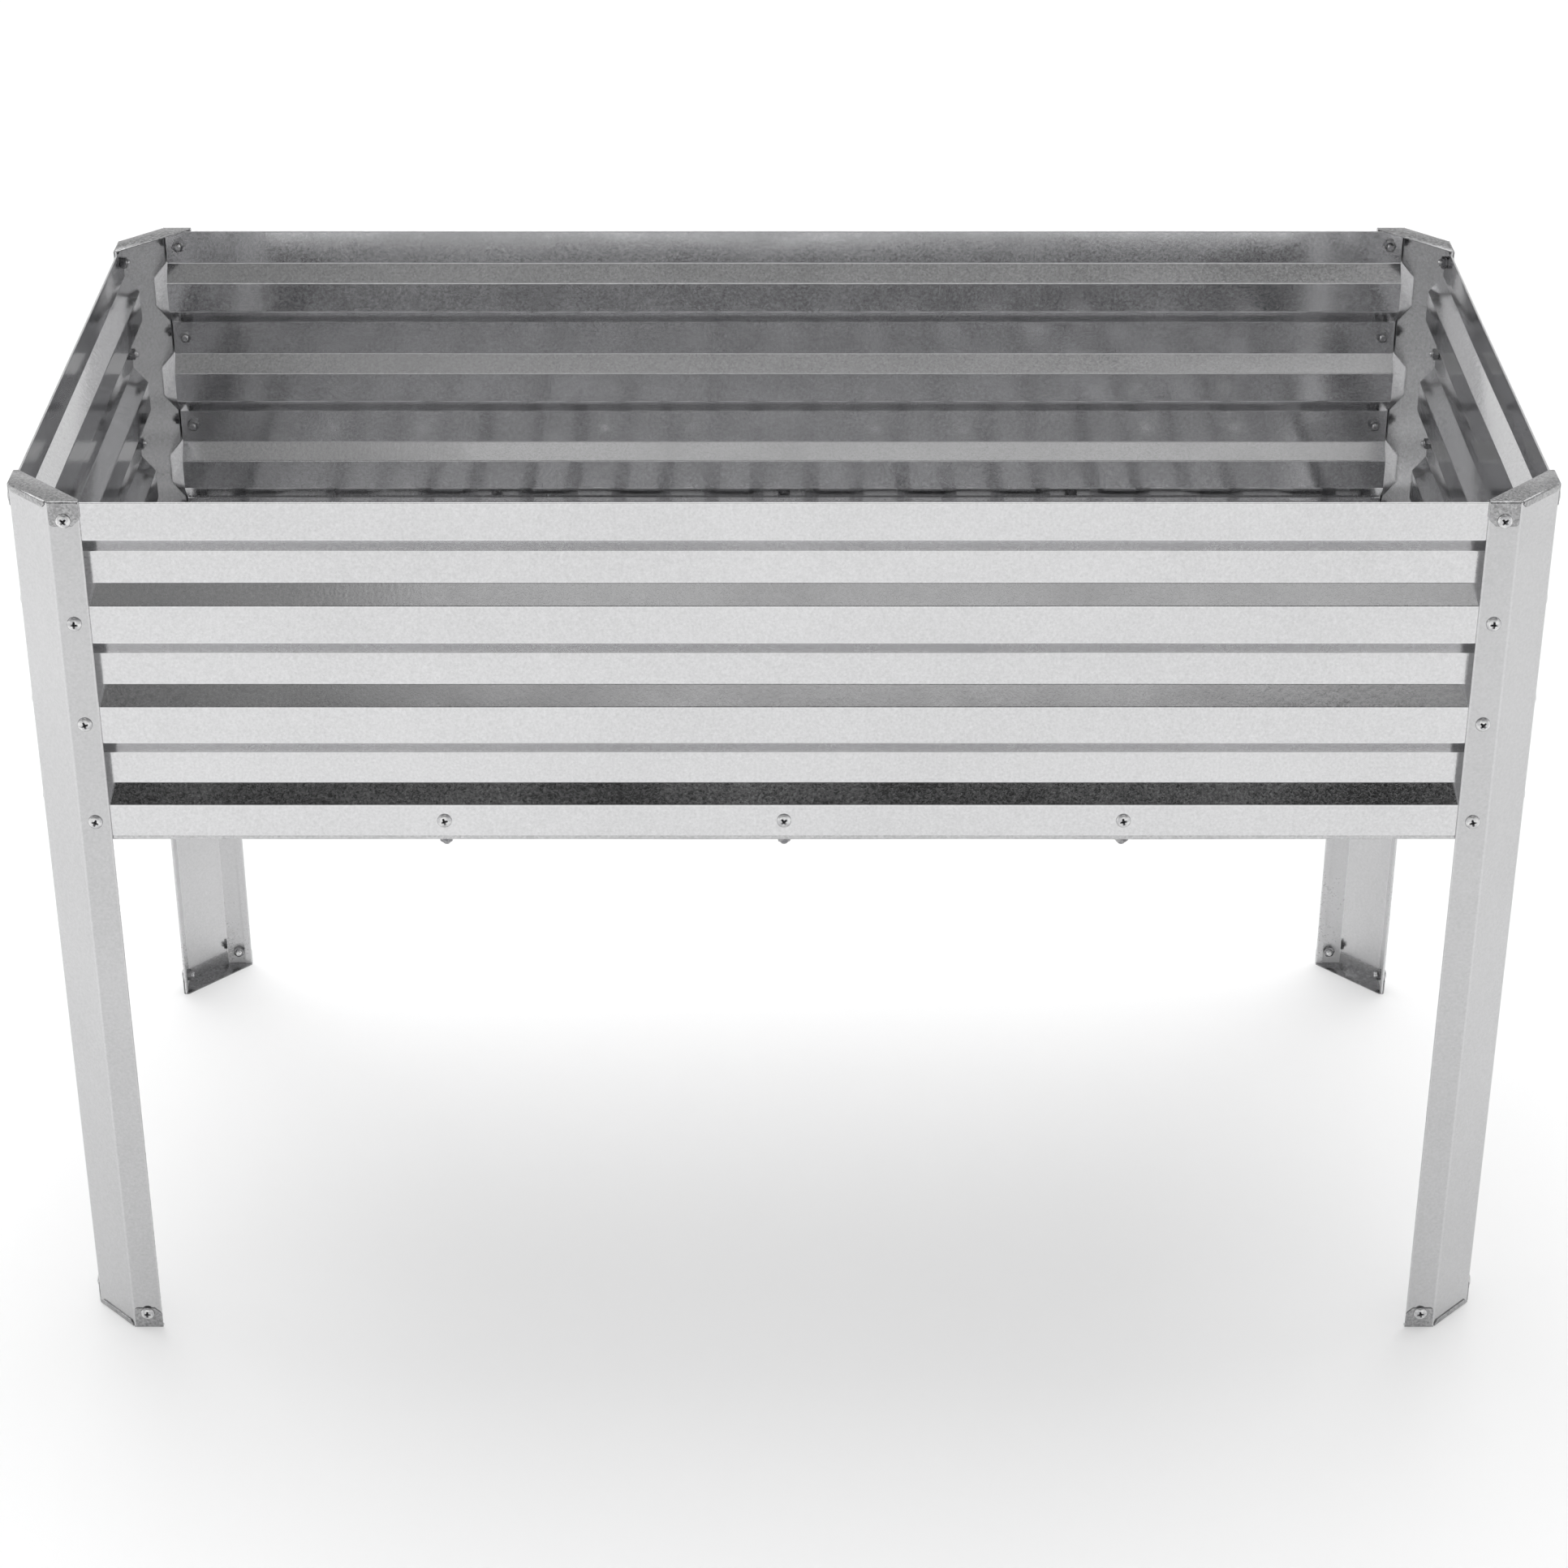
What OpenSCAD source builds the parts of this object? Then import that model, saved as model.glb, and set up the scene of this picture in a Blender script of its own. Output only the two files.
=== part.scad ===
// Raised garden planter on four legs, bolted together from galvanised sheet steel.
// Origin: middle of the footprint, on the ground. +X runs along the length, +Y to the back, +Z up.
// Every wall, leg and rail is thin sheet, bent to a profile and then extruded along its length.

/* [Overall size] */
// Length over the legs' faces
planter_length = 1220; // [900:10:1800]
// Depth over the legs' faces, front to back
planter_depth = 610; // [500:10:900]
// Height from the ground to the top of the corner caps
planter_height = 800; // [500:10:1000]

/* [Legs] */
// Thickness of the leg sheet
leg_sheet = 1; // [0.8:0.1:1.5]
// Width of the flat flange on each side of a leg
leg_flange = 25; // [20:1:35]
// Distance the chamfer face cuts off along each side
leg_chamfer = 36; // [25:1:50]
// Width of the flat hem folded in along each flange
leg_hem = 7; // [5:1:9]

/* [Wall panels] */
// Thickness of the wall and floor sheet
wall_sheet = 0.8; // [0.6:0.1:1.2]
// Distance from one rib to the next
rib_pitch = 90; // [70:1:110]
// Height of the flat strip between two ribs
strip_width = 32; // [25:1:40]
// Height of a rib's flat bottom
valley_width = 28; // [20:1:35]
// How far a rib is pushed in
rib_depth = 12.5; // [8:0.5:16]
// Number of ribs in each wall
rib_count = 3; // [1:1:4]
// Height of the lowest strip, below the last rib
bottom_strip = 28; // [26:1:40]
// Height of the safe hem folded in along the top edge
top_hem = 5; // [4:0.5:6]

/* [Floor] */
// Thickness of the rail and crossbar sheet
rail_sheet = 1.2; // [1:0.1:2]
// Height of a rail's upright leg
rail_height = 28; // [24:1:32]
// Width of a rail's shelf, which carries the floor
rail_shelf = 40; // [35:1:50]
// How far the rails show below the walls
rail_drop = 5; // [2:0.5:8]
// Distance between two crossbars
crossbar_pitch = 277; // [200:1:400]
// Width of a crossbar
crossbar_width = 40; // [30:1:60]
// Depth of a crossbar's turned-down sides
crossbar_drop = 14; // [8:1:25]
// Flat edge at each side of a floor sheet
floor_edge = 39; // [30:1:60]
// Diameter of a drain hole in the floor
drain_hole = 8; // [5:0.5:12]

/* [Corner caps] */
// Thickness of the cap sheet
cap_sheet = 1; // [0.8:0.1:1.5]
// Height of a cap's tab over each flange
cap_tab = 21; // [18:1:28]
// Height of a cap's lip over the chamfer face
cap_lip = 6; // [4:0.5:10]

/* [Fasteners] */
// Diameter of the screw's shank
screw_diameter = 6; // [5:0.5:8]
// Diameter of the screw's head
head_diameter = 12; // [10:0.5:16]
// Height of the screw's head
head_height = 3; // [2:0.1:4]
// Hexagon nut, across its flats
nut_flats = 10; // [8:1:13]
// Height of the nut
nut_height = 5; // [4:0.5:7]
// Distance from a sheet's end or bend to the screws along it
screw_edge = 15; // [14:0.5:18]

/* [Hidden] */
$fn = 48;

STEEL = [0.80, 0.81, 0.82];
DULL_STEEL = [0.66, 0.67, 0.68];
BRIGHT_STEEL = [0.86, 0.87, 0.88];

fold_gap = 0.2;      // air inside a closed hem
fold_flat = 0.1;     // straight stretch at the tip of a closed hem
bend_radius = 1.6;   // to the middle of the sheet
bend_steps = 4;      // flats that make up one bend
hole_clearance = 0.5;
nut_clearance = 0.1; // bore over shank, so that a nut and its screw don't share a face
screw_reach = 3;     // how far a shank stands past its nut
overcut = 1;         // how far a drill runs past each face

half_length = planter_length / 2;
half_depth = planter_depth / 2;
leg_span = leg_chamfer + leg_flange;
leg_bottom = cap_sheet;
leg_top = planter_height - cap_sheet;

// Distances in from a leg's face to the layers behind it
hem_depth = 2 * leg_sheet + fold_gap;
wall_back = hem_depth + wall_sheet;
rail_back = wall_back + rail_sheet;

rib_slope = (rib_pitch - strip_width - valley_width) / 2;
wall_height = rib_count * rib_pitch + bottom_strip;
wall_set_down = 1;   // the walls stop this much below the leg tops
wall_top = leg_top - wall_set_down;
wall_bottom = wall_top - wall_height;
wall_gap = 1;        // between a wall's end and the chamfer's bend
rail_bottom = wall_bottom - rail_drop;
shelf_top = rail_bottom + rail_sheet;
crossbar_top = shelf_top + rail_sheet;
corner_notch = 10;   // a rail's shelf is this much shorter than its upright at each end

screw_rows = [for (row = [0 : rib_count]) leg_top - screw_edge - row * rib_pitch];
foot_row = leg_bottom + screw_edge;
screw_inset = leg_chamfer + leg_flange / 2;
rail_row = screw_rows[rib_count];

crossbars = [-1, 0, 1];
floor_sheets = 4;
floor_gap = 3;       // between a floor sheet's end and the wall
floor_width = rib_count * rib_pitch - strip_width + 2 * floor_edge;
floor_half_depth = half_depth - wall_back - floor_gap;
floor_screw_inset = 12.5;
floor_screw_y = half_depth - floor_screw_inset;
drain_rows = 4;
drain_pitch = planter_depth / (drain_rows + 0.5);

// ---- Sheet profiles -------------------------------------------------------------------------

function unit(v) = v / norm(v);
function left_of(v) = [-v[1], v[0]];
function cross2(a, b) = a[0] * b[1] - a[1] * b[0];

// A corner of a path, rounded to an arc of bend_steps flats
function bend(before, corner, after, radius) =
    let (
        u = unit(corner - before),
        v = unit(after - corner),
        turn = atan2(cross2(u, v), u * v),
        side = turn > 0 ? 1 : -1,
        start = corner - u * radius * tan(abs(turn) / 2),
        centre = start + left_of(u) * side * radius
    )
    [for (i = [0 : bend_steps])
        let (a = turn * i / bend_steps, r = start - centre)
        centre + [r[0] * cos(a) - r[1] * sin(a), r[0] * sin(a) + r[1] * cos(a)]];

// A path through points, with the bend at each corner given by radii
function bent_path(points, radii) =
    let (last = len(points) - 1)
    concat(
        [points[0]],
        [for (i = [1 : last - 1], p = bend(points[i - 1], points[i], points[i + 1], radii[i - 1])) p],
        [points[last]]
    );

// The direction across a path at one of its points, lengthened at corners to keep the sheet even
function across(path, i) =
    let (
        last = len(path) - 1,
        u = unit(path[i == 0 ? 1 : i] - path[i == 0 ? 0 : i - 1]),
        v = unit(path[i == last ? last : i + 1] - path[i == last ? last - 1 : i]),
        m = unit(left_of(u) + left_of(v))
    )
    m / (m * left_of(v));

// The cross-section of a sheet whose middle follows a path
module sheet_section(path, thickness) {
    sides = [for (s = [1, -1]) [for (i = [0 : len(path) - 1]) path[i] + across(path, i) * s * thickness / 2]];
    back = [for (i = [len(path) - 1 : -1 : 0]) sides[1][i]];
    polygon(concat(sides[0], back));
}

// ---- Placing --------------------------------------------------------------------------------

// One corner of the planter: the child is drawn with the corner at the origin and the planter
// towards +X and +Y
module corner(right, back) {
    mirror([right ? 1 : 0, 0, 0])
        mirror([0, back ? 1 : 0, 0])
            translate([-half_length, -half_depth, 0])
                children();
}

// The same thing on a corner's front flange and, swapped across the diagonal, on its side flange
module both_flanges() {
    children();
    mirror([1, -1, 0]) children();
}

// One side of the planter: the child is drawn as for the front, with its face on y = 0
module long_side(back) {
    mirror([0, back ? 1 : 0, 0])
        translate([0, -half_depth, 0])
            children();
}

module short_side(right) {
    mirror([right ? 1 : 0, 0, 0])
        translate([-half_length, 0, 0])
            rotate([0, 0, -90])
                children();
}

// A round hole along +Y through a thin sheet near y = 0
module cross_hole(x, z) {
    hole_reach = 40;
    translate([x, -hole_reach / 2, z])
        rotate([-90, 0, 0])
            cylinder(d = screw_diameter + hole_clearance, h = hole_reach);
}

// A round hole up through a sheet that lies on z = 0
module upright_hole(sheet) {
    translate([0, 0, -overcut])
        cylinder(d = screw_diameter + hole_clearance, h = sheet + 2 * overcut);
}

// ---- Legs and caps --------------------------------------------------------------------------

module leg() {
    skin = leg_sheet / 2;
    inner = skin + leg_sheet + fold_gap;
    tip = leg_span - skin;
    fold = (leg_sheet + fold_gap - fold_flat) / 2;
    path = bent_path(
        [
            [leg_span - leg_hem, inner], [tip, inner], [tip, skin],
            [leg_chamfer + skin * tan(22.5), skin], [skin, leg_chamfer + skin * tan(22.5)],
            [skin, tip], [inner, tip], [inner, leg_span - leg_hem]
        ],
        [fold, fold, bend_radius, bend_radius, fold, fold]
    );
    color(STEEL) difference() {
        translate([0, 0, leg_bottom])
            linear_extrude(leg_top - leg_bottom)
                sheet_section(path, leg_sheet);
        both_flanges() {
            for (z = screw_rows) {
                cross_hole(screw_inset, z);
            }
            cross_hole(screw_inset, foot_row);
        }
    }
}

// A tab against the outside of a flange, from the cap's plate at z = 0 down to -cap_tab
module cap_flange_tab() {
    side_gap = 1;
    large_cut = 6;
    small_cut = 3;
    left = leg_chamfer + side_gap;
    rotate([90, 0, 0])
        linear_extrude(cap_sheet)
            polygon([
                [left, 0], [leg_span, 0],
                [leg_span, large_cut - cap_tab], [leg_span - large_cut, -cap_tab],
                [left + small_cut, -cap_tab], [left, small_cut - cap_tab]
            ]);
}

// The lip against the chamfer face, drawn along its own face and turned into place
module cap_chamfer_lip() {
    face_width = leg_chamfer * sqrt(2);
    end_gap = 2;
    end_cut = 3;
    translate([0, leg_chamfer, 0])
        rotate([0, 0, -45])
            rotate([90, 0, 0])
                linear_extrude(cap_sheet)
                    polygon([
                        [end_gap, 0], [face_width - end_gap, 0],
                        [face_width - end_gap, end_cut - cap_lip],
                        [face_width - end_gap - end_cut, -cap_lip],
                        [end_gap + end_cut, -cap_lip], [end_gap, end_cut - cap_lip]
                    ]);
}

// The cap's plate lies on z = 0 to cap_sheet, and its tabs hang below
module cap() {
    tip = 4;
    out = cap_sheet;
    bend_in = out * tan(22.5);
    color(DULL_STEEL) difference() {
        union() {
            linear_extrude(cap_sheet)
                polygon([
                    [leg_chamfer - bend_in, -out], [leg_span, -out], [leg_span, tip],
                    [tip, leg_span], [-out, leg_span], [-out, leg_chamfer - bend_in]
                ]);
            both_flanges() cap_flange_tab();
            cap_chamfer_lip();
        }
        both_flanges() cross_hole(screw_inset, -screw_edge);
    }
}

module top_cap() {
    translate([0, 0, leg_top]) cap();
}

module foot_cap() {
    translate([0, 0, leg_bottom])
        mirror([0, 0, 1])
            cap();
}

// ---- Walls ----------------------------------------------------------------------------------

// The middle of the wall sheet, from its bottom edge to its top hem, as [distance in, height]
function wall_path() =
    let (
        skin = hem_depth + wall_sheet / 2,
        hem_skin = skin + wall_sheet + fold_gap,
        fold = (wall_sheet + fold_gap - fold_flat) / 2,
        ribs = [for (n = [rib_count - 1 : -1 : 0])
            let (top = wall_top - strip_width - n * rib_pitch, floor = top - rib_slope)
            each [
                [skin, floor - valley_width - rib_slope],
                [skin + rib_depth, floor - valley_width],
                [skin + rib_depth, floor],
                [skin, top]
            ]],
        edge = wall_top - wall_sheet / 2
    )
    bent_path(
        concat(
            [[skin, wall_bottom]],
            ribs,
            [[skin, edge], [hem_skin, edge], [hem_skin, wall_top - top_hem]]
        ),
        concat([for (i = [1 : 4 * rib_count]) bend_radius], [fold, fold])
    );

// A wall as it stands at the front, from -half_width to half_width
module wall(half_width, rail_screws) {
    color(STEEL) difference() {
        translate([-half_width, 0, 0])
            rotate([90, 0, 90])
                linear_extrude(2 * half_width)
                    sheet_section(wall_path(), wall_sheet);
        for (side = [-1, 1], z = screw_rows) {
            cross_hole(side * (half_width + wall_gap - leg_flange / 2), z);
        }
        for (x = rail_screws) {
            cross_hole(x, rail_row);
        }
    }
}

rail_screws_long = [for (n = crossbars) n * crossbar_pitch];
rail_screws_short = [0];

module long_wall() {
    wall(half_length - leg_chamfer - wall_gap, rail_screws_long);
}

module short_wall() {
    wall(half_depth - leg_chamfer - wall_gap, rail_screws_short);
}

// ---- Floor frame ----------------------------------------------------------------------------

// A rail as it lies at the front, behind the wall's bottom strip
module rail(half_width, bottom, strip_holes, shelf_holes) {
    skin = rail_sheet / 2;
    path = bent_path(
        [
            [wall_back + skin, bottom + rail_height],
            [wall_back + skin, bottom + skin],
            [wall_back + rail_shelf, bottom + skin]
        ],
        [bend_radius]
    );
    color(DULL_STEEL) difference() {
        translate([-half_width, 0, 0])
            rotate([90, 0, 90])
                linear_extrude(2 * half_width)
                    sheet_section(path, rail_sheet);
        for (side = [-1, 1]) {
            cross_hole(side * (half_width + wall_gap - leg_flange / 2), rail_row);
            translate([side * half_width, rail_back + rail_shelf / 2 + bend_radius, bottom])
                cube([2 * corner_notch, rail_shelf, 4 * rail_sheet], center = true);
        }
        for (x = strip_holes) {
            cross_hole(x, rail_row);
        }
        for (x = shelf_holes) {
            translate([x, floor_screw_inset, bottom])
                upright_hole(rail_sheet);
        }
    }
}

module long_rail() {
    rail(half_length - leg_chamfer - wall_gap, rail_bottom, rail_screws_long, rail_screws_long);
}

// A short rail sits higher by its own sheet, so that its shelf is level with the crossbars
module short_rail() {
    rail(half_depth - leg_chamfer - wall_gap, rail_bottom + rail_sheet, rail_screws_short, []);
}

// A channel that lies on the shelves of both long rails, its sides turned down between them
module crossbar(x) {
    web = crossbar_width / 2;
    skin = rail_sheet / 2;
    shelf_gap = 2;       // between a turned-down side and the rail's shelf
    tongue_inset = 1.5;  // the part of the web over a shelf is this much narrower on each side
    side_half = half_depth - wall_back - rail_shelf - shelf_gap;
    path = bent_path(
        [
            [skin - web, -crossbar_drop], [skin - web, -skin],
            [web - skin, -skin], [web - skin, -crossbar_drop]
        ],
        [bend_radius, bend_radius]
    );
    color(DULL_STEEL) translate([x, 0, crossbar_top])
        difference() {
            union() {
                translate([0, side_half, 0])
                    rotate([90, 0, 0])
                        linear_extrude(2 * side_half)
                            sheet_section(path, rail_sheet);
                translate([tongue_inset - web, -floor_half_depth, -rail_sheet])
                    cube([crossbar_width - 2 * tongue_inset, 2 * floor_half_depth, rail_sheet]);
            }
            for (side = [-1, 1]) {
                translate([0, side * floor_screw_y, -rail_sheet])
                    upright_hole(rail_sheet);
            }
        }
}

// A ribbed sheet with its ribs standing up; the middle of its section is [across, height]
module floor_section() {
    skin = wall_sheet / 2;
    first = floor_edge - floor_width / 2;
    ribs = [for (n = [0 : rib_count - 1])
        let (x = first + n * rib_pitch)
        each [
            [x, skin], [x + rib_slope, skin + rib_depth],
            [x + rib_slope + valley_width, skin + rib_depth], [x + 2 * rib_slope + valley_width, skin]
        ]];
    path = bent_path(
        concat([[-floor_width / 2, skin]], ribs, [[floor_width / 2, skin]]),
        [for (i = [1 : 4 * rib_count]) bend_radius]
    );
    sheet_section(path, wall_sheet);
}

// Sheets 1 and 3 lie on the crossbars; 2 and 4 lap over their edges
module floor_sheet(n) {
    lift = n % 2 == 0 ? wall_sheet : 0;
    middle = (n - (floor_sheets + 1) / 2) * crossbar_pitch;
    color(STEEL) translate([middle, 0, crossbar_top + lift])
        difference() {
            translate([0, floor_half_depth, 0])
                rotate([90, 0, 0])
                    linear_extrude(2 * floor_half_depth)
                        floor_section();
            for (rib = [1 : rib_count - 1], row = [1 : drain_rows]) {
                translate([
                    (rib - rib_count / 2) * rib_pitch,
                    (row - (drain_rows + 1) / 2) * drain_pitch,
                    -overcut
                ])
                    cylinder(d = drain_hole, h = wall_sheet + 2 * overcut);
            }
            for (x = [-1, 1], y = [-1, 1]) {
                translate([x * crossbar_pitch / 2, y * floor_screw_y, 0])
                    upright_hole(wall_sheet);
            }
        }
}

// ---- Fasteners ------------------------------------------------------------------------------

// A pan head screw along +Y: the underside of its head is at y = 0, and its head is at y < 0
module screw(shank) {
    rim = 0.8;
    recess_width = 1.3;
    recess_span = 6.4;
    recess_depth = 2;
    round_top = [for (a = [0 : 15 : 90])
        [head_diameter / 2 * cos(a), rim + (head_height - rim) * sin(a)]];
    color(BRIGHT_STEEL) rotate([90, 0, 0])
        difference() {
            union() {
                rotate_extrude()
                    polygon(concat([[0, 0], [head_diameter / 2, 0]], round_top));
                translate([0, 0, -shank])
                    cylinder(d = screw_diameter, h = shank);
            }
            for (turn = [45, 135]) {
                rotate([0, 0, turn])
                    translate([-recess_span / 2, -recess_width / 2, head_height - recess_depth])
                        cube([recess_span, recess_width, recess_depth + overcut]);
            }
        }
}

// A hexagon nut along +Y, from y = 0 to its height, with two of its flats upright
module nut() {
    color(BRIGHT_STEEL) rotate([-90, 30, 0])
        difference() {
            cylinder(d = nut_flats / cos(30), h = nut_height, $fn = 6);
            translate([0, 0, -overcut])
                cylinder(d = screw_diameter + nut_clearance, h = nut_height + 2 * overcut);
        }
}

// Where the screws of one corner's front flange go: [x, head's seat, nut's seat, z]
function flange_screws() =
    concat(
        [for (row = [0 : rib_count])
            [
                screw_inset, row == 0 ? -cap_sheet : 0,
                row == rib_count ? rail_back : wall_back, screw_rows[row]
            ]],
        [[screw_inset, -cap_sheet, leg_sheet, foot_row]]
    );

module screws_at(places) {
    for (p = places) {
        translate([p[0], p[1], p[3]])
            screw(p[2] - p[1] + nut_height + screw_reach);
    }
}

module nuts_at(places) {
    for (p = places) {
        translate([p[0], p[2], p[3]]) nut();
    }
}

module leg_screws() {
    both_flanges() screws_at(flange_screws());
}

module leg_nuts() {
    both_flanges() nuts_at(flange_screws());
}

function strip_screws(xs) = [for (x = xs) [x, hem_depth, rail_back, rail_row]];

module all_sides_strip(kind) {
    for (far = [false, true]) {
        long_side(far) {
            if (kind == "screws") screws_at(strip_screws(rail_screws_long));
            else nuts_at(strip_screws(rail_screws_long));
        }
        short_side(far) {
            if (kind == "screws") screws_at(strip_screws(rail_screws_short));
            else nuts_at(strip_screws(rail_screws_short));
        }
    }
}

// Floor screws point down: head on the upper of two lapped floor sheets, nut under the rail
module at_floor_screws() {
    for (n = crossbars, side = [-1, 1]) {
        translate([n * crossbar_pitch, side * floor_screw_y, 0]) children();
    }
}

module floor_screws() {
    seat = crossbar_top + 2 * wall_sheet;
    at_floor_screws()
        translate([0, 0, seat])
            rotate([-90, 0, 0])
                screw(seat - rail_bottom + nut_height + screw_reach);
}

module floor_nuts() {
    at_floor_screws()
        translate([0, 0, rail_bottom])
            rotate([-90, 0, 0])
                nut();
}

// ---- The planter ----------------------------------------------------------------------------

corner(false, false) leg();  // leg_front_left
corner(true, false) leg();  // leg_front_right
corner(false, true) leg();  // leg_back_left
corner(true, true) leg();  // leg_back_right

long_side(false) long_wall();  // panel_front
long_side(true) long_wall();  // panel_back
short_side(false) short_wall();  // panel_left
short_side(true) short_wall();  // panel_right

corner(false, false) top_cap();  // top_cap_front_left
corner(true, false) top_cap();  // top_cap_front_right
corner(false, true) top_cap();  // top_cap_back_left
corner(true, true) top_cap();  // top_cap_back_right

corner(false, false) foot_cap();  // foot_cap_front_left
corner(true, false) foot_cap();  // foot_cap_front_right
corner(false, true) foot_cap();  // foot_cap_back_left
corner(true, true) foot_cap();  // foot_cap_back_right

long_side(false) long_rail();  // rail_front
long_side(true) long_rail();  // rail_back
short_side(false) short_rail();  // rail_left
short_side(true) short_rail();  // rail_right

crossbar(-crossbar_pitch);  // crossbar_left
crossbar(0);  // crossbar_middle
crossbar(crossbar_pitch);  // crossbar_right

floor_sheet(1);  // floor_sheet_1
floor_sheet(2);  // floor_sheet_2
floor_sheet(3);  // floor_sheet_3
floor_sheet(4);  // floor_sheet_4

corner(false, false) leg_screws();  // leg_screws_front_left
corner(true, false) leg_screws();  // leg_screws_front_right
corner(false, true) leg_screws();  // leg_screws_back_left
corner(true, true) leg_screws();  // leg_screws_back_right

corner(false, false) leg_nuts();  // leg_nuts_front_left
corner(true, false) leg_nuts();  // leg_nuts_front_right
corner(false, true) leg_nuts();  // leg_nuts_back_left
corner(true, true) leg_nuts();  // leg_nuts_back_right

all_sides_strip("screws");  // rail_screws
all_sides_strip("nuts");  // rail_nuts
floor_screws();
floor_nuts();
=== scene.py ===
"""Looks of the raised planter: detailed sheet-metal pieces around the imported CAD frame.

Everything is in metres, in the CAD's frame: +X along the planter, +Y to the back, +Z up. Each wall, leg,
rail and floor sheet is a bent sheet: the middle of its section is a path, which is thickened and swept.
"""

import math
import random

import bmesh
import bpy
from mathutils import Matrix, Vector, noise


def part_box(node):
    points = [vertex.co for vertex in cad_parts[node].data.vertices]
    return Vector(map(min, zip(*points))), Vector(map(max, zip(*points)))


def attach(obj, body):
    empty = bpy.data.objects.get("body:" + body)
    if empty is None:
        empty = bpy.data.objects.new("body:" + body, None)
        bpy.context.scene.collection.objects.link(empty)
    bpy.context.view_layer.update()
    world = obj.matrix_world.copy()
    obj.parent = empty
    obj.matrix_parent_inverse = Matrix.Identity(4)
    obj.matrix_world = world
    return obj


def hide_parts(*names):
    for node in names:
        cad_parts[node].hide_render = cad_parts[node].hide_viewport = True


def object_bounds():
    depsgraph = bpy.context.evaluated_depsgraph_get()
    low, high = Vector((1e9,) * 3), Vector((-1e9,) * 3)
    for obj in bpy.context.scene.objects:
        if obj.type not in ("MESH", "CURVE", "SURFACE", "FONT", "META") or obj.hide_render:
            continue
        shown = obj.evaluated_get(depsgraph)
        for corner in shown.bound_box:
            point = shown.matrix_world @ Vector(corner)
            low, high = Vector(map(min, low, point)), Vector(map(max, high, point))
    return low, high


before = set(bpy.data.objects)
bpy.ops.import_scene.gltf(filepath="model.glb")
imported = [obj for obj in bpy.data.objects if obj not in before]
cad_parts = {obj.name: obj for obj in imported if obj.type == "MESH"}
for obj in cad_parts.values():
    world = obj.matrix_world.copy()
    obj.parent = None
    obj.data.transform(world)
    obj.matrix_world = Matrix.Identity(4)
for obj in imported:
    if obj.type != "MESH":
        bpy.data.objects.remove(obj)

CAD_LOW, CAD_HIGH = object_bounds()
MM = 0.001
BODY = "root"

# ---- Sizes, from the CAD nodes' boxes and the sheet's own measures ------------------------------

LEG_LOW, LEG_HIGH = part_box("leg_front_left")
HALF_LENGTH, HALF_DEPTH = -LEG_LOW.x, -LEG_LOW.y
LEG_BOTTOM, LEG_TOP = LEG_LOW.z, LEG_HIGH.z
LEG_SPAN = LEG_HIGH.x - LEG_LOW.x
WALL_LOW, WALL_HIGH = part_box("panel_front")
WALL_BOTTOM, WALL_TOP = WALL_LOW.z, WALL_HIGH.z
WALL_IN = WALL_LOW.y + HALF_DEPTH
SHORT_WALL_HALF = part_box("panel_left")[1].y
RAIL_LOW, RAIL_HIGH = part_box("rail_front")
SIDE_RAIL_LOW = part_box("rail_left")[0]
BAR_LOW, BAR_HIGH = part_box("crossbar_middle")

LEG_SHEET = 1 * MM
LEG_CHAMFER = 36 * MM
LEG_HEM = 7 * MM
WALL_SHEET = 0.8 * MM
RIB_PITCH = 90 * MM
STRIP = 32 * MM
VALLEY = 28 * MM
RIB_SLOPE = 15 * MM
RIB_COUNT = 3
RIB_DEPTH = WALL_HIGH.y - WALL_LOW.y - WALL_SHEET
LAST_RIB_SHALLOWER = 0.4 * MM
TOP_HEM = 5 * MM
RAIL_SHEET = 1.2 * MM
RAIL_NOTCH = 10 * MM
FLOOR_SHEETS = 4
FLOOR_EDGE = 39 * MM
CAP_SHEET = 1 * MM
CAP_TAB = 21 * MM
CAP_LIP = 6 * MM
CAP_BACK = 4 * MM
CAP_CUT = 6 * MM
CAP_ROUND = 3 * MM
CAP_SIDE_GAP = 1 * MM
CAP_LIP_GAP = 2 * MM
CAP_BEND = 1.2 * MM
HEM_GAP = 0.2 * MM
HEM_ROUND = 0.95  # how much of a closed hem's tip is an arc
BEND = 1.6 * MM
BEND_STEPS = 6
BEND_EDGE = 0.4 * MM
SCREW_EDGE = 15 * MM
SCREW_RADIUS = 3 * MM
HEAD_RADIUS = 6 * MM
HEAD_HEIGHT = 3 * MM
HEAD_RIM = 0.7 * MM
HEAD_EDGE = 0.15 * MM
HEAD_ROUND = 0.9  # power of the cosine that shapes the dome
RECESS_DEPTH = 2.1 * MM
RECESS_SPAN = 0.75  # how far out the painted recess shade reaches, of the head's radius
NUT_FLATS = 10 * MM
NUT_HEIGHT = 5 * MM
SCREW_REACH = 3 * MM
THREAD_PITCH = 1 * MM
THREAD_DEPTH = 0.45 * MM
NUT_PLAY = 0.05 * MM
COUNTERSINK = 0.5 * MM
CROSSBAR_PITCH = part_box("crossbar_right")[0].x - BAR_LOW.x
FLOOR_SCREW_INSET = 12.5 * MM
DRAIN_ROWS = 4
DRAIN_PITCH = 2 * HALF_DEPTH / (DRAIN_ROWS + 0.5)
DRAIN_RADIUS = 4 * MM
HOLE_RADIUS = 3.25 * MM
DRILL_REACH = 30 * MM
DRILL_SIDES = 28
SHARP_ANGLE = 30
SEED_STEPS = (7.3, 3.1, 5.7)
TURN_SEED = 5
TOWARDS_WALL = 0.9

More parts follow.
